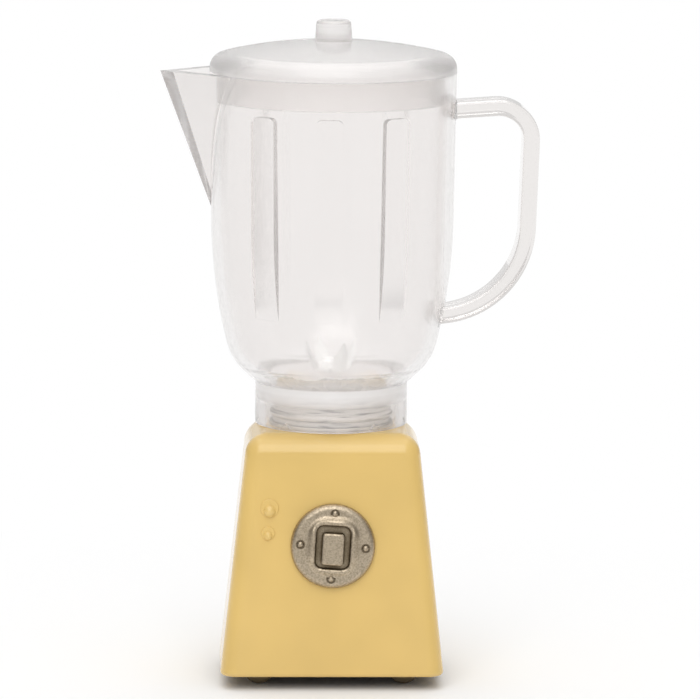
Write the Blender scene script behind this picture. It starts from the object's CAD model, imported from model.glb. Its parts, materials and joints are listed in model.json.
"""Finishes for the toy blender: enamel, antique pewter, brown plastic and clear plastic.

Most pieces come from the frame that is loaded below, and get only their surfaces here. Five are
this file's own: a handle with a finer mesh, a spring that shortens as the button goes in, and
three films of cement at the joints of the jug. A floor, two soft boxes and a camera are the stage.
Lengths are metres unless a name says millimetres. +Z is up and the switch faces -Y.
"""

import json
import math

import bmesh
import bpy
from mathutils import Matrix, Vector, noise


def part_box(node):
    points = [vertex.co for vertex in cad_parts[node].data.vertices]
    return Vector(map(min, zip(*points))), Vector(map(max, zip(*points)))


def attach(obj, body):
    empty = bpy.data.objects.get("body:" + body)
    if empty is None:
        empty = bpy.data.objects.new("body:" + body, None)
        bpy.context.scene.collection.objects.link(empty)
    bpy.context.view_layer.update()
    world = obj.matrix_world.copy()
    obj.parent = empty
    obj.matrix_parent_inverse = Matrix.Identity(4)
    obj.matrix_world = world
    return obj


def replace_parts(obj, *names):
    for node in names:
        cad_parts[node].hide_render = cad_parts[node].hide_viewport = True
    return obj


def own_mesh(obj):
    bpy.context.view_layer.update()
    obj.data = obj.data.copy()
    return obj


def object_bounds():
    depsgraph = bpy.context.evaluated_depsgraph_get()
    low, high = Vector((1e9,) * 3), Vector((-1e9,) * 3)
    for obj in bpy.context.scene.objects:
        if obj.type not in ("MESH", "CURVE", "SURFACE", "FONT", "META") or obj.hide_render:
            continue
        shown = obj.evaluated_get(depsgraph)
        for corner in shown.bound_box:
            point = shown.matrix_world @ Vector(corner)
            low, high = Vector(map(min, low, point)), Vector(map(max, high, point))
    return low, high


bl_info = {
    "name": "Toy blender",
    "version": (1, 0, 0),
    "blender": (4, 5, 0),
    "location": "View3D > Sidebar > Toy blender",
    "description": "Finishes and stage for a miniature blender with a clear jug",
    "category": "Object",
}

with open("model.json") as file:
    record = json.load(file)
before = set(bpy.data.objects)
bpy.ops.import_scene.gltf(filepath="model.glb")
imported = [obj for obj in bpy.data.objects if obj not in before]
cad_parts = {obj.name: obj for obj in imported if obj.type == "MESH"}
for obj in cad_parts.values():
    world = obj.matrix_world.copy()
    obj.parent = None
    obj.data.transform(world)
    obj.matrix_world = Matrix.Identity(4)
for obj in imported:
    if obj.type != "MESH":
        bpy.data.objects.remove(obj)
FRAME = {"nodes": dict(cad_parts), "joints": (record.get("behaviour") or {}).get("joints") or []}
CAD_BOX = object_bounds()
NODES = FRAME["nodes"]
MM = 0.001
WHITE = (1.0, 1.0, 1.0, 1.0)


# ---------------------------------------------------------------- settings


def linear(code):
    """The linear colour of an sRGB hex value such as "#E0BC72"."""
    values = [int(code[i : i + 2], 16) / 255 for i in (1, 3, 5)]
    return tuple(v / 12.92 if v <= 0.04045 else ((v + 0.055) / 1.055) ** 2.4 for v in values)


def colour_setting(name, description, code):
    """A colour that a user may change."""
    return bpy.props.FloatVectorProperty(
        name=name,
        description=description,
        subtype="COLOR",
        size=3,
        min=0,
        max=1,
        default=linear(code),
    )


def length_setting(name, description, millimetres):
    """A length that a user may change."""
    return bpy.props.FloatProperty(
        name=name,
        description=description,
        subtype="DISTANCE",
        unit="LENGTH",
        min=0,
        precision=5,
        default=millimetres * MM,
    )


def angle_setting(name, description, degrees):
    """An angle that a user may change."""
    return bpy.props.FloatProperty(
        name=name,
        description=description,
        subtype="ANGLE",
        unit="ROTATION",
        default=math.radians(degrees),
    )


def share_setting(name, description, value):
    """A factor from 0 to 1 that a user may change."""
    return bpy.props.FloatProperty(
        name=name, description=description, subtype="FACTOR", min=0, max=1, default=value
    )


def density_setting(name, description, per_metre):
    """How fast a clear body darkens, which a user may change."""
    return bpy.props.FloatProperty(name=name, description=description, min=0, default=per_metre)


class ToyBlenderFinish(bpy.types.PropertyGroup):
    """Colours and surface sizes of the blender's own pieces."""

    enamel: colour_setting("Enamel", "Cream yellow enamel of the cast base", "#E8C577")
    enamel_deep: colour_setting("Deep enamel", "Enamel where it pools against an edge", "#B98A42")
    enamel_roughness: share_setting("Enamel roughness", "0 is a mirror, 1 is chalk", 0.2)
    casting_wave: length_setting("Casting wave", "Spacing of the casting's soft waves", 7)
    pewter: colour_setting("Pewter", "Antique plating of the switch", "#C6B7A0")
    pewter_dark: colour_setting("Pewter shade", "Darkened plating in the recesses", "#57482F")
    recess_reach: length_setting("Recess reach", "How far the dark of a recess spreads", 1.1)
    well_reach: length_setting("Well reach", "The same, on the switch and its well", 1.7)
    plating_grain: length_setting("Plating grain", "Spacing of the plating's speckles", 0.24)
    foot: colour_setting("Feet", "Dark brown plastic of the feet", "#786A50")
    foot_roughness: share_setting("Foot roughness", "Gloss of the feet", 0.28)
    groove: colour_setting("Spigot grooves", "Tarnish between the rings of the spigot", "#4B4338")
    bright_pewter: colour_setting("Bright pewter", "Plating of the spigot", "#F2EEE9")
    clear: colour_setting("Clear plastic", "Tint of the jug at its surfaces", "#F8F6F5")
    body_tint: colour_setting("Body tint", "What thick clear plastic lets through", "#C8C0BC")
    body_density: density_setting(
        "Body density", "How fast thick clear plastic darkens, per metre", 8
    )
    collar_density: density_setting(
        "Collar density", "The same, in the collar, which is moulded of a greyer plastic", 85
    )
    blade: colour_setting("Blades", "Milky plastic of the blades", "#FDFDFC")
    glue: colour_setting("Glue", "Cement that ran out at the joints of the jug", "#F6F3EF")
    handle: colour_setting("Handle", "Tint of the handle at its surfaces", "#EFECEA")
    handle_roughness: share_setting("Handle roughness", "Finish of the handle", 0.05)
    jug_roughness: share_setting("Jug roughness", "Polish of the jug", 0.12)
    frost_roughness: share_setting("Frost roughness", "Fine matt finish of the lid", 0.24)
    haze_roughness: share_setting("Haze roughness", "Polish of the collar and blades", 0.05)
    lid_milk: share_setting("Lid milk", "How much of the lid's light is scattered", 0.2)
    collar_milk: share_setting("Collar milk", "The same share in the collar's skirt", 0.2)
    collar_top_milk: share_setting("Collar top milk", "The same share in its thick floor", 0.8)
    blade_milk: share_setting("Blade milk", "The same share in the blades and their pin", 0.92)
    cover: colour_setting("Cover", "Dark plastic of the bottom cover", "#3A3129")
    cover_roughness: share_setting("Cover roughness", "Gloss of the bottom cover", 0.55)
    cover_mottle: length_setting("Cover mottle", "Spacing of the bottom cover's mottle", 1)
    steel: colour_setting("Steel", "Screws, washer, clip and spring", "#BDBBB8")


class ToyBlenderHandle(bpy.types.PropertyGroup):
    """The bent bar of the handle. Its place comes from the frame."""

    thickness: length_setting("Thickness", "Of the bar, in the plane of its bend", 2.1)
    depth: length_setting("Depth", "Of the bar, across the bend", 5.4)
    edge_round: length_setting("Edge round", "Radius of the bar's long edges", 0.45)
    top_round: length_setting("Top round", "Outer radius of the upper bend", 5.3)
    low_round: length_setting("Low round", "Outer radius of the lower bend", 12.9)
    grip_length: length_setting("Grip length", "Height between the middles of the bends", 10.9)
    arm_slope: angle_setting("Arm slope", "Rise of the upper arm away from the jug", 4.0)
    grip_lean: angle_setting("Grip lean", "Lean of the grip from upright", 1.9)
    bond: length_setting("Bond", "Film of cement between the bar's ends and the jug", 0.02)


class ToyBlenderStage(bpy.types.PropertyGroup):
    """The camera and the floor."""

    camera_distance: length_setting("Camera distance", "From the jug's axis, level", 636)
    camera_height: length_setting("Camera height", "Above the floor", 143.9)
    floor: colour_setting("Floor", "Pale floor and backdrop", "#F4F4F4")


# ---------------------------------------------------------------- material helpers


def add_node(tree, kind, inputs=(), **settings):
    """Adds a node with its settings and inputs. The inputs are named, numbered or in order, and
    each is a value, a socket, or a node, which stands for its first output in use."""
    node = tree.nodes.new(kind)
    for name, value in settings.items():
        setattr(node, name, value)
    for name, value in inputs.items() if isinstance(inputs, dict) else enumerate(inputs):
        if isinstance(value, bpy.types.Node):
            value = next(socket for socket in value.outputs if socket.enabled)
        if isinstance(value, bpy.types.NodeSocket):
            tree.links.new(value, node.inputs[name])
        else:
            node.inputs[name].default_value = value
    return node


def new_material(name):
    """A material and its node tree, which is still empty."""
    material = bpy.data.materials.new(name)
    material.use_nodes = True
    material.node_tree.nodes.clear()
    return material, material.node_tree


def opaque(colour):
    """A colour with full alpha, for a shader's socket."""
    return (*colour, 1.0)


def grain(tree, spacing, detail=2.0, roughness=0.5):
    """Noise whose features are about spacing apart, on the piece's own coordinates."""
    where = add_node(tree, "ShaderNodeTexCoord").outputs["Object"]
    inputs = {"Vector": where, "Scale": 1 / spacing, "Detail": detail, "Roughness": roughness}
    return add_node(tree, "ShaderNodeTexNoise", inputs)


def recess(tree, reach, deep=0.35, open_from=0.85):
    """1 in a recess or beside a step, and 0 on the open surface. deep and open_from are the
    shares of the surroundings that show there."""
    shade = add_node(tree, "ShaderNodeAmbientOcclusion", {"Distance": reach}, samples=8)
    inputs = (shade.outputs["AO"], deep, open_from, 1.0, 0.0)
    return add_node(tree, "ShaderNodeMapRange", inputs)


# ---------------------------------------------------------------- materials


MIX_FACTOR, MIX_FIRST, MIX_SECOND = 0, 6, 7  # the inputs of a Mix node that mixes colours
NOISE_SPREAD = (0.3, 0.7)  # where most of a noise's values lie
EVENLY = (1.0, 1.0, 1.0)  # red, green and blue light reach equally far
PLASTIC_IOR = 1.5

ENAMEL_WAVE_SHADE = 0.94  # what is left of the colour in the hollow of a wave
ENAMEL_POOLS = (0.1, 0.5)  # deep and open, as in recess
PEWTER_SPECKLES = (0.42, 0.62)  # noise values: wiped bare, and fully speckled
PEWTER_SPECKLE_SHADE = 0.4  # how far a speckle goes towards the dark colour
PEWTER_ROUGHNESS = (0.34, 0.5)
TURNING_SPACING = 0.4 * MM
TURNING_DRIFT = 0.1  # how much the marks change from side to side
TURNING_DULL = (0.52, 0.68)  # noise values: bright, and fully dull
TURNING_TARNISH = (0.3, 0.75)  # deep and open, as in recess
MOTTLE_ROUGHNESS = (0.8, 1.2)  # as shares of the plastic's own roughness
THICK_PART = (0.5, 0.8)  # where the collar's thick floor begins, as shares of its height
CEMENT_ROUGHNESS = (0.15, 0.4)


def enamel_on_cast_metal(finish):
    """Stoved enamel over die casting: even colour, a wet gloss, and faint waves below it."""
    material, tree = new_material("stoved_enamel")
    wave = grain(tree, finish.casting_wave, 1.0)
    mixed = {
        MIX_FACTOR: add_node(tree, "ShaderNodeMapRange", (wave, *NOISE_SPREAD, 0.0, 1.0)),
        MIX_FIRST: opaque(value * ENAMEL_WAVE_SHADE for value in finish.enamel),
        MIX_SECOND: opaque(finish.enamel),
    }
    pooled = {
        MIX_FACTOR: recess(tree, finish.recess_reach, *ENAMEL_POOLS),
        MIX_FIRST: add_node(tree, "ShaderNodeMix", mixed, data_type="RGBA"),
        MIX_SECOND: opaque(finish.enamel_deep),
    }
    low_wave = {"Height": wave, "Distance": 0.06 * MM, "Strength": 0.3}
    coated = {
        "Base Color": add_node(tree, "ShaderNodeMix", pooled, data_type="RGBA"),
        "Roughness": finish.enamel_roughness,
        "IOR": 1.5,
        "Specular IOR Level": 0.15,
        "Coat Weight": 1.0,
        "Coat IOR": 1.5,
        "Coat Roughness": 0.2,
        "Normal": add_node(tree, "ShaderNodeBump", low_wave),
    }
    shader = add_node(tree, "ShaderNodeBsdfPrincipled", coated)
    add_node(tree, "ShaderNodeOutputMaterial", {"Surface": shader})
    return material


def antique_pewter(finish):
    """Pewter plating, darkened and wiped back: warm grey metal with small dark speckles, and
    brown in its recesses, where the wiping didn't reach."""
    material, tree = new_material("antique_pewter")
    speckle = grain(tree, finish.plating_grain, 3.0, 0.7)
    bright, dark = Vector(finish.pewter), Vector(finish.pewter_dark)
    wiped = {
        MIX_FACTOR: add_node(tree, "ShaderNodeMapRange", (speckle, *PEWTER_SPECKLES, 0.0, 1.0)),
        MIX_FIRST: opaque(finish.pewter),
        MIX_SECOND: opaque(bright.lerp(dark, PEWTER_SPECKLE_SHADE)),
    }
    left_dark = {
        MIX_FACTOR: recess(tree, finish.well_reach),
        MIX_FIRST: add_node(tree, "ShaderNodeMix", wiped, data_type="RGBA"),
        MIX_SECOND: opaque(finish.pewter_dark),
    }
    uneven = (speckle, *NOISE_SPREAD, *PEWTER_ROUGHNESS)
    pitted = {"Height": speckle, "Distance": 0.02 * MM, "Strength": 0.5}
    plated = {
        "Base Color": add_node(tree, "ShaderNodeMix", left_dark, data_type="RGBA"),
        "Metallic": 1.0,
        "Roughness": add_node(tree, "ShaderNodeMapRange", uneven),
        "Normal": add_node(tree, "ShaderNodeBump", pitted),
    }
    shader = add_node(tree, "ShaderNodeBsdfPrincipled", plated)
    add_node(tree, "ShaderNodeOutputMaterial", {"Surface": shader})
    return material


def turning_marks(tree):
    """Noise in rings round the spigot's axis. The rings are spaced wider than a real tool leaves
    them, so that they show."""
    where = add_node(tree, "ShaderNodeTexCoord").outputs["Object"]
    axis = (jug_axis_x(), 0, 0)
    centred = add_node(tree, "ShaderNodeVectorMath", (where, axis), operation="SUBTRACT")
    flat = add_node(tree, "ShaderNodeVectorMath", (centred, (1, 1, 0)), operation="MULTIPLY")
    reach = add_node(tree, "ShaderNodeVectorMath", (flat,), operation="LENGTH").outputs["Value"]
    place = add_node(tree, "ShaderNodeSeparateXYZ", (where,)).outputs
    drift = add_node(tree, "ShaderNodeMath", (place["X"], TURNING_DRIFT), operation="MULTIPLY")
    rings = add_node(tree, "ShaderNodeCombineXYZ", (reach, drift, place["Z"]))
    inputs = {"Vector": rings, "Scale": 1 / TURNING_SPACING, "Detail": 4.0}
    return add_node(tree, "ShaderNodeTexNoise", inputs)


def bright_pewter(finish):
    """Turned pewter with a pale bloom: bright on its rings, tarnished between them, and dull
    along the turning marks that run round it."""
    material, tree = new_material("turned_bright_pewter")
    marks = turning_marks(tree)
    turned = {
        MIX_FACTOR: add_node(tree, "ShaderNodeMapRange", (marks, *TURNING_DULL, 0.0, 1.0)),
        MIX_FIRST: opaque(finish.bright_pewter),
        MIX_SECOND: opaque(finish.groove),
    }
    tarnished = {
        MIX_FACTOR: recess(tree, finish.recess_reach, *TURNING_TARNISH),
        MIX_FIRST: add_node(tree, "ShaderNodeMix", turned, data_type="RGBA"),
        MIX_SECOND: opaque(finish.groove),
    }
    ridged = {"Height": marks, "Distance": 0.04 * MM, "Strength": 0.5}
    plated = {
        "Base Color": add_node(tree, "ShaderNodeMix", tarnished, data_type="RGBA"),
        "Metallic": 0.5,
        "Roughness": 0.5,
        "Normal": add_node(tree, "ShaderNodeBump", ridged),
    }
    shader = add_node(tree, "ShaderNodeBsdfPrincipled", plated)
    add_node(tree, "ShaderNodeOutputMaterial", {"Surface": shader})
    return material


def moulded_plastic(name, colour, roughness, mottle=3 * MM):
    """Injection-moulded plastic: even colour and a soft gloss with a slight mottle."""
    material, tree = new_material(name)
    cloud = grain(tree, mottle)
    gloss = [roughness * share for share in MOTTLE_ROUGHNESS]
    uneven = {"Height": cloud, "Distance": 0.03 * MM, "Strength": 0.2}
    moulded = {
        "Base Color": opaque(colour),
        "Roughness": add_node(tree, "ShaderNodeMapRange", (cloud, *NOISE_SPREAD, *gloss)),
        "IOR": PLASTIC_IOR,
        "Normal": add_node(tree, "ShaderNodeBump", uneven),
    }
    shader = add_node(tree, "ShaderNodeBsdfPrincipled", moulded)
    add_node(tree, "ShaderNodeOutputMaterial", {"Surface": shader})
    return material


def moulded_polystyrene(finish, name, colour, roughness, density, milk=0.0, top_milk=None):
    """Clear moulded polystyrene, polished or hazy: bright through its thin walls, and grey
    where it is seen along them. milk is the share of the light that it scatters, and top_milk
    that share in the upper part of the piece, where it is moulded thicker."""
    material, tree = new_material(name)
    flow = grain(tree, 4 * MM, 1.0)
    passed = 1.0 - milk
    if top_milk is not None:
        where = add_node(tree, "ShaderNodeTexCoord").outputs["Generated"]
        up = add_node(tree, "ShaderNodeSeparateXYZ", (where,)).outputs["Z"]
        inputs = (up, *THICK_PART, passed, 1.0 - top_milk)
        passed = add_node(tree, "ShaderNodeMapRange", inputs)
    flow_marks = {"Height": flow, "Distance": 0.05 * MM, "Strength": 0.25}
    clear = {
        "Base Color": opaque(colour),
        "Roughness": roughness,
        "IOR": PLASTIC_IOR,
        "Transmission Weight": passed,
        "Normal": add_node(tree, "ShaderNodeBump", flow_marks),
    }
    body = {"Color": opaque(finish.body_tint), "Density": density}
    shaders = {
        "Surface": add_node(tree, "ShaderNodeBsdfPrincipled", clear),
        "Volume": add_node(tree, "ShaderNodeVolumeAbsorption", body),
    }
    add_node(tree, "ShaderNodeOutputMaterial", shaders)
    return material


def milky_polystyrene(finish):
    """Moulded polystyrene with white in it: pale, glossy, and lit through by what is behind."""
    material, tree = new_material("milky_polystyrene")
    flow_marks = {"Height": grain(tree, 2 * MM, 1.0), "Distance": 0.03 * MM, "Strength": 0.2}
    milky = {
        "Base Color": opaque(finish.blade),
        "Roughness": finish.haze_roughness,
        "IOR": PLASTIC_IOR,
        "Transmission Weight": 1.0 - finish.blade_milk,
        "Subsurface Weight": 0.5,
        "Subsurface Radius": EVENLY,
        "Subsurface Scale": 1.5 * MM,
        "Normal": add_node(tree, "ShaderNodeBump", flow_marks),
    }
    shader = add_node(tree, "ShaderNodeBsdfPrincipled", milky)
    add_node(tree, "ShaderNodeOutputMaterial", {"Surface": shader})
    return material


def cured_cement(finish):
    """Solvent cement that ran out and set: milky, glossy and softly lumpy."""
    material, tree = new_material("cured_cement")
    lump = grain(tree, 1.5 * MM, 1.0)
    gloss = (lump, *NOISE_SPREAD, *CEMENT_ROUGHNESS)
    lumpy = {"Height": lump, "Distance": 0.03 * MM, "Strength": 0.3}
    cured = {
        "Base Color": opaque(finish.glue),
        "Roughness": add_node(tree, "ShaderNodeMapRange", gloss),
        "IOR": 1.48,
        "Transmission Weight": 0.1,
        "Subsurface Weight": 1.0,
        "Subsurface Radius": EVENLY,
        "Subsurface Scale": 1.2 * MM,
        "Normal": add_node(tree, "ShaderNodeBump", lumpy),
    }
    shader = add_node(tree, "ShaderNodeBsdfPrincipled", cured)
    add_node(tree, "ShaderNodeOutputMaterial", {"Surface": shader})
    return material


def plain_steel(finish):
    """Drawn and turned steel: grey, bright, with fine turning marks lost at this size."""
    material, tree = new_material("plain_steel")
    bare = {"Base Color": opaque(finish.steel), "Metallic": 1.0, "Roughness": 0.3}
    shader = add_node(tree, "ShaderNodeBsdfPrincipled", bare)
    add_node(tree, "ShaderNodeOutputMaterial", {"Surface": shader})
    return material


# ---------------------------------------------------------------- pieces


SHARP_FROM = math.radians(40)  # an edge that turns by more stays hard
TOWARDS_JUG = Vector((-1, 0, 0))  # from the handle
RAY_START = Vector((MM, 0, 0))  # a search for the jug's wall starts this far outside
CORNER_PARTS = 8  # facets round each long edge of the handle
CORNER_GUARD = 0.03 * MM  # strip beside each such edge that keeps the flats flat
BEND_PARTS = 64  # rows of points round each bend of the handle
BEND_SPARE = 0.25 * MM  # the least room between the last whole row and the jug

# Cement. A pair is the least and the most of a width that wanders.
RAGGED_WAVES = ((0.6, 2.5), (0.4, 7.0))  # the share of each wave, and how tight it is
GLUE_TUCK = 0.02 * MM  # how far it reaches into the room beside a wall or the bar
END_GLUE_SEEDS = {"glue_handle_top": 3, "glue_handle_bottom": 4}
END_GLUE_CLIMB_SEED = 5  # is added to the seed of the bead
END_GLUE_REACH = (0.12 * MM, 0.6 * MM)
END_GLUE_CLIMB = (0.1 * MM, 0.3 * MM)
END_GLUE_HOLLOW = (0.45, 0.6)  # its face runs through these shares of its reach and its climb
FLOOR_GLUE_SEEDS = (1, 9, 2)
FLOOR_GLUE_PARTS = 240
FLOOR_GLUE_LEVELS = 5
FLOOR_GLUE_WIDTH = (0.15 * MM, 0.35 * MM)
FLOOR_GLUE_TOP_WIDTH = 0.45  # as a share of the width at the floor
FLOOR_GLUE_CLIMB = (1.5 * MM, 2.2 * MM)
FLOOR_GLUE_BEHIND = 0.15  # the height behind, as a share of the height in front
FLOOR_GLUE_RAG = 0.12 * MM  # the height of the small teeth along its top
FLOOR_GLUE_TEETH = 9  # how many times tighter the teeth are than the wander


def dress(names, material):
    """Gives nodes of the frame a material."""
    for name in names:
        node = NODES[name]
        node.data.materials.clear()
        node.data.materials.append(material)


def nodes_called(start):
    """The names of the nodes that begin with start."""
    return [name for name in NODES if name.startswith(start)]


def let_lamps_through(names):
    """Clear plastic throws no shadow, so that the lamps reach what is inside it."""
    for name in names:
        NODES[name].visible_shadow = False


def jug_axis_x():
    """Where the upright axis of the jug stands."""
    low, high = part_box("jug_collar")
    return (low[0] + high[0]) / 2


def pressed_spring(material):
    """The button's spring, which shortens towards its seat as the button goes in."""
    seen = NODES["button_spring"]
    spring = bpy.data.objects.new("pressed_spring", seen.data.copy())
    spring.data.materials.clear()
    spring.data.materials.append(material)
    bpy.context.scene.collection.objects.link(spring)
    press = next(joint for joint in FRAME["joints"] if joint["name"] == "button_press")
    axis = Vector(press["axis"])
    seat = max((vertex.co for vertex in seen.data.vertices), key=axis.dot).copy()
    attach(spring, "base")
    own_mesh(spring)
    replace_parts(spring, "button_spring")


def skin(name, rows, closed, material):
    """A smooth piece of the jug through rows of points, each row a closed loop. The rows close
    on the first one, or the two end rows are capped."""
    count = len(rows[0])
    points = [point for row in rows for point in row]
    faces = []
    for row in range(len(rows) if closed else len(rows) - 1):
        here, there = row * count, (row + 1) % len(rows) * count
        for side in range(count):
            after = (side + 1) % count
            faces.append((here + side, here + after, there + after, there + side))
    if not closed:
        for start in (0, len(points) - count):
            loop = range(start, start + count)
            points.append(sum((points[corner] for corner in loop), Vector()) / count)
            hub = len(points) - 1
            for side in range(count):
                edge = (start + side, start + (side + 1) % count)
                faces.append((*(edge if start else reversed(edge)), hub))
    mesh = bpy.data.meshes.new(name)
    mesh.from_pydata(points, [], faces)
    shell = bmesh.new()
    shell.from_mesh(mesh)
    bmesh.ops.recalc_face_normals(shell, faces=shell.faces)
    shell.to_mesh(mesh)
    shell.free()
    mesh.shade_smooth()
    mesh.set_sharp_from_angle(angle=SHARP_FROM)
    mesh.materials.append(material)
    piece = bpy.data.objects.new(name, mesh)
    bpy.context.scene.collection.objects.link(piece)
    piece.visible_shadow = False
    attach(piece, "jug")
    return piece


def on_jug(start, direction):
    """The first point of the jug that a ray meets, or None."""
    found, point, _, _ = NODES["jug_body"].ray_cast(start, direction)
    return point if found else None


def clear_of_jug(row, direction, spare):
    """True if every point of a row is outside the jug's wall, with room to spare."""
    for point in row:
        met = on_jug(point, direction)
        if met is None or (met - point).length < spare or met.x < 0:
            return False
    return True


def bar_section(handle):
    """The bar's cross-section, (across its thickness, along its depth), with rounded corners.
    A point close beside each corner keeps the flats flat."""
    half_thick, half_deep = handle.thickness / 2, handle.depth / 2
    inset = handle.edge_round
    section = []
    for quarter in range(4):
        turn = math.radians(90 * quarter)
        across = (half_thick - inset) * (1 if quarter in (0, 3) else -1)
        along = (half_deep - inset) * (1 if quarter in (0, 1) else -1)
        step = Vector((math.cos(turn), math.sin(turn))) * CORNER_GUARD
        side = Vector((-step.y, step.x))
        middle = Vector((across, along))
        section.append(middle + step / CORNER_GUARD * inset - side)
        for part in range(CORNER_PARTS + 1):
            angle = turn + math.radians(90 * part / CORNER_PARTS)
            section.append(middle + Vector((math.cos(angle), math.sin(angle))) * inset)
        section.append(middle + side / CORNER_GUARD * inset - step)
    return section


def bar_rows(handle):
    """Rows of points along the bar: from the jug, over the top, down the grip and back."""
    section = bar_section(handle)
    _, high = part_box("jug_handle")
    slope, lean = handle.arm_slope, handle.grip_lean
    top = Vector((high[0] - handle.top_round, high[2] - handle.top_round))
    drop = handle.grip_length
    shift = (handle.low_round - handle.top_round + drop * math.sin(lean)) / math.cos(lean)
    low = Vector((top.x - shift, top.y - drop))

    def row(centre, outer, angle):
        out = Vector((math.cos(angle), math.sin(angle)))
        middle = centre + out * (outer - handle.thickness / 2)
        return [
            Vector((middle.x + out.x * across, along, middle.y + out.y * across))
            for across, along in section
        ]

    rows = []
    for centre, outer, start, stop in (
        (top, handle.top_round, math.pi / 2 + slope, -lean),
        (low, handle.low_round, -lean, -math.pi / 2),
    ):
        for part in range(BEND_PARTS + 1):
            rows.append(row(centre, outer, start + (stop - start) * part / BEND_PARTS))
    arm = Vector((-math.cos(slope), 0, -math.sin(slope)))
    rows.insert(0, [on_jug(point, arm) - arm * handle.bond for point in rows[0]])
    while not clear_of_jug(rows[-1], TOWARDS_JUG, handle.bond + BEND_SPARE):
        rows.pop()
    heading = sum((a - b for a, b in zip(rows[-1], rows[-2])), Vector()).normalized()
    rows.append([on_jug(point, heading) - heading * handle.bond for point in rows[-1]])
    return rows


def ragged(angle, seed, least, most):
    """A width that wanders between two limits, and comes round to itself."""
    wander = 0
    for share, waves in RAGGED_WAVES:
        wander += share * noise.noise(
            Vector((math.cos(angle) * waves, math.sin(angle) * waves, seed))
        )
    return least + (most - least) * min(max(0.5 + wander, 0), 1)


def glue_round_end(name, ring, material):
    """A bead of cement in the corner between the end of the bar and the wall of the jug."""
    seed = END_GLUE_SEEDS[name]
    middle = sum(ring, Vector()) / len(ring)
    tuck = Vector((GLUE_TUCK, 0, 0))
    hollow_reach, hollow_climb = END_GLUE_HOLLOW
    rows = []
    for place, point in enumerate(ring):
        angle = 2 * math.pi * place / len(ring)
        away = point - middle
        away.x = 0
        away.normalize()
        reach = ragged(angle, seed, *END_GLUE_REACH)
        climb = ragged(angle, seed + END_GLUE_CLIMB_SEED, *END_GLUE_CLIMB)
        foot = on_jug(point + away * reach + RAY_START, TOWARDS_JUG)
        corner = on_jug(point - away * GLUE_TUCK + RAY_START, TOWARDS_JUG)
        rows.append([
            corner + tuck,
            foot + tuck,
            point.lerp(foot, hollow_reach) + Vector((climb * hollow_climb, 0, 0)),
            point - away * GLUE_TUCK + Vector((climb, 0, 0)),
        ])
    return skin(name, rows, True, material)


def glue_round_floor(material):
    """A film of cement on the wall of the jug above its floor, with a ragged top, high in front
    and low behind."""
    width_seed, climb_seed, teeth_seed = FLOOR_GLUE_SEEDS
    _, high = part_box("jug_collar")
    axis = Vector((jug_axis_x(), 0, high[2]))
    rows = []
    for part in range(FLOOR_GLUE_PARTS):
        angle = 2 * math.pi * part / FLOOR_GLUE_PARTS
        out = Vector((math.cos(angle), math.sin(angle), 0))
        width = ragged(angle, width_seed, *FLOOR_GLUE_WIDTH)
        climb = ragged(angle, climb_seed, *FLOOR_GLUE_CLIMB)
        climb += ragged(angle * FLOOR_GLUE_TEETH, teeth_seed, -1, 1) * FLOOR_GLUE_RAG
        climb *= FLOOR_GLUE_BEHIND + (1 - FLOOR_GLUE_BEHIND) * (1 - out.y) / 2
        wall = []
        for level in range(FLOOR_GLUE_LEVELS + 1):
            up = Vector((0, 0, GLUE_TUCK + (climb - GLUE_TUCK) * level / FLOOR_GLUE_LEVELS))
            wall.append(on_jug(axis + up, out) - out * GLUE_TUCK)
        inside = []
        for level in reversed(range(FLOOR_GLUE_LEVELS)):
            low_share = 1 - level / FLOOR_GLUE_LEVELS
            share = FLOOR_GLUE_TOP_WIDTH + (1 - FLOOR_GLUE_TOP_WIDTH) * low_share
            inside.append(wall[level] - out * width * share)
        rows.append(wall + inside)
    return skin("glue_floor_seam", rows, True, material)


class TOYBLENDER_OT_base(bpy.types.Operator):
    """Enamels the cast base with its two domes"""

    bl_idname = "toyblender.base"
    bl_label = "Enamel the base"

    def execute(self, context):
        dress(["base_housing"], enamel_on_cast_metal(context.scene.toy_blender_finish))
        return {"FINISHED"}


class TOYBLENDER_OT_underside(bpy.types.Operator):
    """Finishes the bottom cover, its screws and the four feet"""

    bl_idname = "toyblender.underside"
    bl_label = "Finish the underside"

    def execute(self, context):
        finish = context.scene.toy_blender_finish
        cover = moulded_plastic(
            "moulded_cover", finish.cover, finish.cover_roughness, finish.cover_mottle)
        dress(["bottom_cover"], cover)
        foot = moulded_plastic("moulded_foot", finish.foot, finish.foot_roughness)
        dress(nodes_called("foot_"), foot)
        dress(nodes_called("cover_screw_"), plain_steel(finish))
        return {"FINISHED"}


class TOYBLENDER_OT_spigot(bpy.types.Operator):
    """Plates the spigot and finishes the screw and washer that hold it"""

    bl_idname = "toyblender.spigot"
    bl_label = "Plate the spigot"

    def execute(self, context):
        finish = context.scene.toy_blender_finish
        dress(["jug_spigot"], bright_pewter(finish))
        dress(["spigot_screw", "spigot_washer"], plain_steel(finish))
        return {"FINISHED"}


class TOYBLENDER_OT_switch(bpy.types.Operator):
    """Plates the switch plate, its rivets and its button, and adds the spring behind it"""

    bl_idname = "toyblender.switch"
    bl_label = "Plate the switch"

    def execute(self, context):
        finish = context.scene.toy_blender_finish
        plated = ["switch_plate", *nodes_called("plate_rivet_"), "switch_button"]
        dress(plated, antique_pewter(finish))
        steel = plain_steel(finish)
        dress(["button_clip", "button_spring"], steel)
        pressed_spring(steel)
        return {"FINISHED"}


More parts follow.
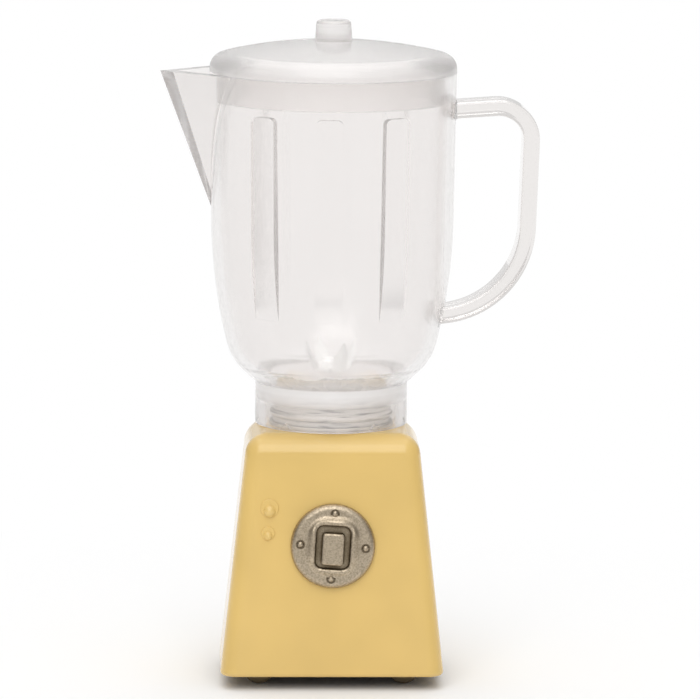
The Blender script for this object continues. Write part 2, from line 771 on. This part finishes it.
class TOYBLENDER_OT_jug(bpy.types.Operator):
    """Makes the jug, its collar and its blades clear, and adds its handle and its cement"""

    bl_idname = "toyblender.jug"
    bl_label = "Make the jug clear"

    def execute(self, context):
        finish = context.scene.toy_blender_finish
        polished = moulded_polystyrene(
            finish, "polished_polystyrene", finish.clear, finish.jug_roughness,
            finish.body_density)
        dress(["jug_body"], polished)
        tumbled = moulded_polystyrene(
            finish, "tumbled_polystyrene", finish.handle, finish.handle_roughness,
            finish.body_density)
        dress(["jug_handle"], tumbled)
        rows = bar_rows(context.scene.toy_blender_handle)
        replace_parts(skin("bent_handle", rows, False, tumbled), "jug_handle")
        cement = cured_cement(finish)
        glue_round_end("glue_handle_top", rows[0], cement)
        glue_round_end("glue_handle_bottom", rows[-1], cement)
        glue_round_floor(cement)
        hazy = moulded_polystyrene(
            finish, "hazy_polystyrene", finish.clear, finish.haze_roughness,
            finish.collar_density, finish.collar_milk, finish.collar_top_milk)
        dress(["jug_collar"], hazy)
        dress(["blade_spider", "blade_pin"], milky_polystyrene(finish))
        let_lamps_through(["jug_body", "jug_collar", "blade_pin", "blade_spider"])
        return {"FINISHED"}


class TOYBLENDER_OT_lid(bpy.types.Operator):
    """Makes the lid clear"""

    bl_idname = "toyblender.lid"
    bl_label = "Make the lid clear"

    def execute(self, context):
        finish = context.scene.toy_blender_finish
        frosted = moulded_polystyrene(
            finish, "frosted_polystyrene", finish.clear, finish.frost_roughness,
            finish.body_density, finish.lid_milk)
        dress(["lid"], frosted)
        let_lamps_through(["lid"])
        return {"FINISHED"}


# ---------------------------------------------------------------- the stage


CAMERA_AZIMUTH = math.radians(1.7)
CAMERA_PITCH = math.radians(9.1)
CAMERA_PAN = math.radians(0.217)
CAMERA_ROLL = math.radians(0.45)
CAMERA_SEES_TO = 20
SENSOR_WIDTH_MM = 36
LENS_MM = 255.7
LIGHT_BOUNCES = 48
SOFTBOXES = {  # the side of each, its power in watts and its place
    "front_softbox": (0.95, 5.4, (-0.1, -0.87, 0.82)),
    "top_softbox": (0.9, 2.2, (0.0, 0.1, 1.0)),
}
FLOOR_SIDE = 6.0
FLOOR_WHITE_FROM = (0.02, 0.1)  # it turns white between these distances from the middle
BRIGHT_SIDE = (0.0, 0.3, 0.95)  # where the surroundings are brightest
BRIGHT_FROM = (-0.2, 0.9)  # cosines from that side: still dim, and fully bright
WORLD_DIM = 0.34
WORLD_BRIGHT = 1.0
SIDES_FROM = (0.45, 0.9)  # cosines from the left or right: not yet dimmed, and fully dimmed
WORLD_SIDES = 0.35  # what is left there, as a share
WORLD_THROUGH = 0.8  # the least that shows through clear plastic


def set_camera(stage):
    """A long lens, a little above the lid and a little to the left."""
    camera = bpy.data.objects.new("camera", bpy.data.cameras.new("camera"))
    camera.data.sensor_fit = "HORIZONTAL"
    camera.data.sensor_width = SENSOR_WIDTH_MM
    camera.data.lens = LENS_MM
    camera.data.clip_end = CAMERA_SEES_TO
    away = stage.camera_distance
    camera.location = (
        jug_axis_x() - away * math.sin(CAMERA_AZIMUTH),
        -away * math.cos(CAMERA_AZIMUTH),
        stage.camera_height,
    )
    turn = Matrix.Rotation(-(CAMERA_AZIMUTH + CAMERA_PAN), 4, "Z")
    tilt = Matrix.Rotation(math.pi / 2 - CAMERA_PITCH, 4, "X")
    roll = Matrix.Rotation(CAMERA_ROLL, 4, "Z")
    camera.rotation_euler = (turn @ tilt @ roll).to_euler()
    bpy.context.scene.collection.objects.link(camera)
    bpy.context.scene.camera = camera


def add_softbox(name, target):
    """A square soft box that faces a target."""
    side, power, place = SOFTBOXES[name]
    lamp = bpy.data.lights.new(name, "AREA")
    lamp.shape = "SQUARE"
    lamp.size = side
    lamp.energy = power
    holder = bpy.data.objects.new(name, lamp)
    holder.location = place
    aim = Vector(target) - Vector(place)
    holder.rotation_euler = aim.to_track_quat("-Z", "Y").to_euler()
    bpy.context.scene.collection.objects.link(holder)


def lay_floor(stage):
    """A wide pale floor that takes the blender's shadow. It looks white away from the blender,
    and through clear plastic."""
    bpy.ops.mesh.primitive_plane_add(size=FLOOR_SIDE)
    floor = bpy.context.object
    floor.name = "floor"
    material, tree = new_material("pale_floor")
    where = add_node(tree, "ShaderNodeTexCoord").outputs["Object"]
    away = add_node(tree, "ShaderNodeVectorMath", (where,), operation="LENGTH").outputs["Value"]
    far = add_node(tree, "ShaderNodeMapRange", (away, *FLOOR_WHITE_FROM, 0.0, 1.0))
    path = add_node(tree, "ShaderNodeLightPath").outputs
    direct = (path["Is Camera Ray"], path["Is Glossy Ray"])
    seen = add_node(tree, "ShaderNodeMath", direct, operation="MAXIMUM")
    seen_far = add_node(tree, "ShaderNodeMath", (far, seen), operation="MULTIPLY")
    white = (seen_far, path["Is Transmission Ray"])
    matt = {"Base Color": opaque(stage.floor), "Roughness": 0.9, "Specular IOR Level": 0.0}
    shaders = (
        add_node(tree, "ShaderNodeMath", white, operation="MAXIMUM"),
        add_node(tree, "ShaderNodeBsdfPrincipled", matt),
        add_node(tree, "ShaderNodeEmission", {"Color": WHITE, "Strength": 1.0}),
    )
    surface = add_node(tree, "ShaderNodeMixShader", shaders)
    add_node(tree, "ShaderNodeOutputMaterial", {"Surface": surface})
    floor.data.materials.append(material)


def light_world():
    """White surroundings, brightest above, and dimmer to the sides and in front. Clear plastic
    shows them pale all round."""
    world = bpy.data.worlds.new("surroundings")
    world.use_nodes = True
    tree = world.node_tree
    tree.nodes.clear()
    where = add_node(tree, "ShaderNodeTexCoord").outputs["Generated"]
    towards = add_node(
        tree, "ShaderNodeVectorMath", (where, BRIGHT_SIDE), operation="DOT_PRODUCT"
    ).outputs["Value"]
    light = add_node(
        tree, "ShaderNodeMapRange", (towards, *BRIGHT_FROM, WORLD_DIM, WORLD_BRIGHT)
    )
    across = add_node(tree, "ShaderNodeSeparateXYZ", (where,)).outputs["X"]
    aside = add_node(tree, "ShaderNodeMath", (across,), operation="ABSOLUTE")
    dimmed = add_node(tree, "ShaderNodeMapRange", (aside, *SIDES_FROM, 1.0, WORLD_SIDES))
    flagged = add_node(tree, "ShaderNodeMath", (light, dimmed), operation="MULTIPLY")
    path = add_node(tree, "ShaderNodeLightPath").outputs
    least = (path["Is Transmission Ray"], WORLD_THROUGH)
    through = add_node(tree, "ShaderNodeMath", least, operation="MULTIPLY")
    lit = add_node(tree, "ShaderNodeMath", (flagged, through), operation="MAXIMUM")
    strength = add_node(tree, "ShaderNodeMath", (lit, path["Is Camera Ray"]), operation="MAXIMUM")
    sky = add_node(tree, "ShaderNodeBackground", {"Color": WHITE, "Strength": strength})
    add_node(tree, "ShaderNodeOutputWorld", {"Surface": sky})
    bpy.context.scene.world = world


class TOYBLENDER_OT_stage(bpy.types.Operator):
    """Sets up the camera, the lamps, the floor and the plain view"""

    bl_idname = "toyblender.stage"
    bl_label = "Set up the stage"

    def execute(self, context):
        stage = context.scene.toy_blender_stage
        low, high = CAD_BOX
        middle = (Vector(low) + Vector(high)) / 2
        set_camera(stage)
        lay_floor(stage)
        light_world()
        for name in SOFTBOXES:
            add_softbox(name, middle)
        context.scene.view_settings.view_transform = "Standard"
        cycles = context.scene.cycles
        cycles.max_bounces = cycles.glossy_bounces = cycles.transmission_bounces = LIGHT_BOUNCES
        return {"FINISHED"}


# ---------------------------------------------------------------- panel and registration


PIECE_OPERATORS = (
    TOYBLENDER_OT_base,
    TOYBLENDER_OT_underside,
    TOYBLENDER_OT_spigot,
    TOYBLENDER_OT_switch,
    TOYBLENDER_OT_jug,
    TOYBLENDER_OT_lid,
    TOYBLENDER_OT_stage,
)
SETTINGS = {
    "toy_blender_finish": ToyBlenderFinish,
    "toy_blender_handle": ToyBlenderHandle,
    "toy_blender_stage": ToyBlenderStage,
}


class TOYBLENDER_PT_panel(bpy.types.Panel):
    """Lists the blender's pieces and their settings"""

    bl_idname = "TOYBLENDER_PT_panel"
    bl_label = "Toy blender"
    bl_space_type = "VIEW_3D"
    bl_region_type = "UI"
    bl_category = "Toy blender"

    def draw(self, context):
        for operator in PIECE_OPERATORS:
            self.layout.operator(operator.bl_idname)
        for setting in SETTINGS:
            group = getattr(context.scene, setting)
            box = self.layout.box()
            for name in group.__annotations__:
                box.prop(group, name)


CLASSES = (*SETTINGS.values(), *PIECE_OPERATORS, TOYBLENDER_PT_panel)


def register():
    for item in CLASSES:
        bpy.utils.register_class(item)
    for name, group in SETTINGS.items():
        setattr(bpy.types.Scene, name, bpy.props.PointerProperty(type=group))


def unregister():
    for name in SETTINGS:
        delattr(bpy.types.Scene, name)
    for item in reversed(CLASSES):
        bpy.utils.unregister_class(item)


def main():
    register()
    for operator in PIECE_OPERATORS:
        group, name = operator.bl_idname.split(".")
        getattr(getattr(bpy.ops, group), name)()


if __name__ == "__main__":
    main()
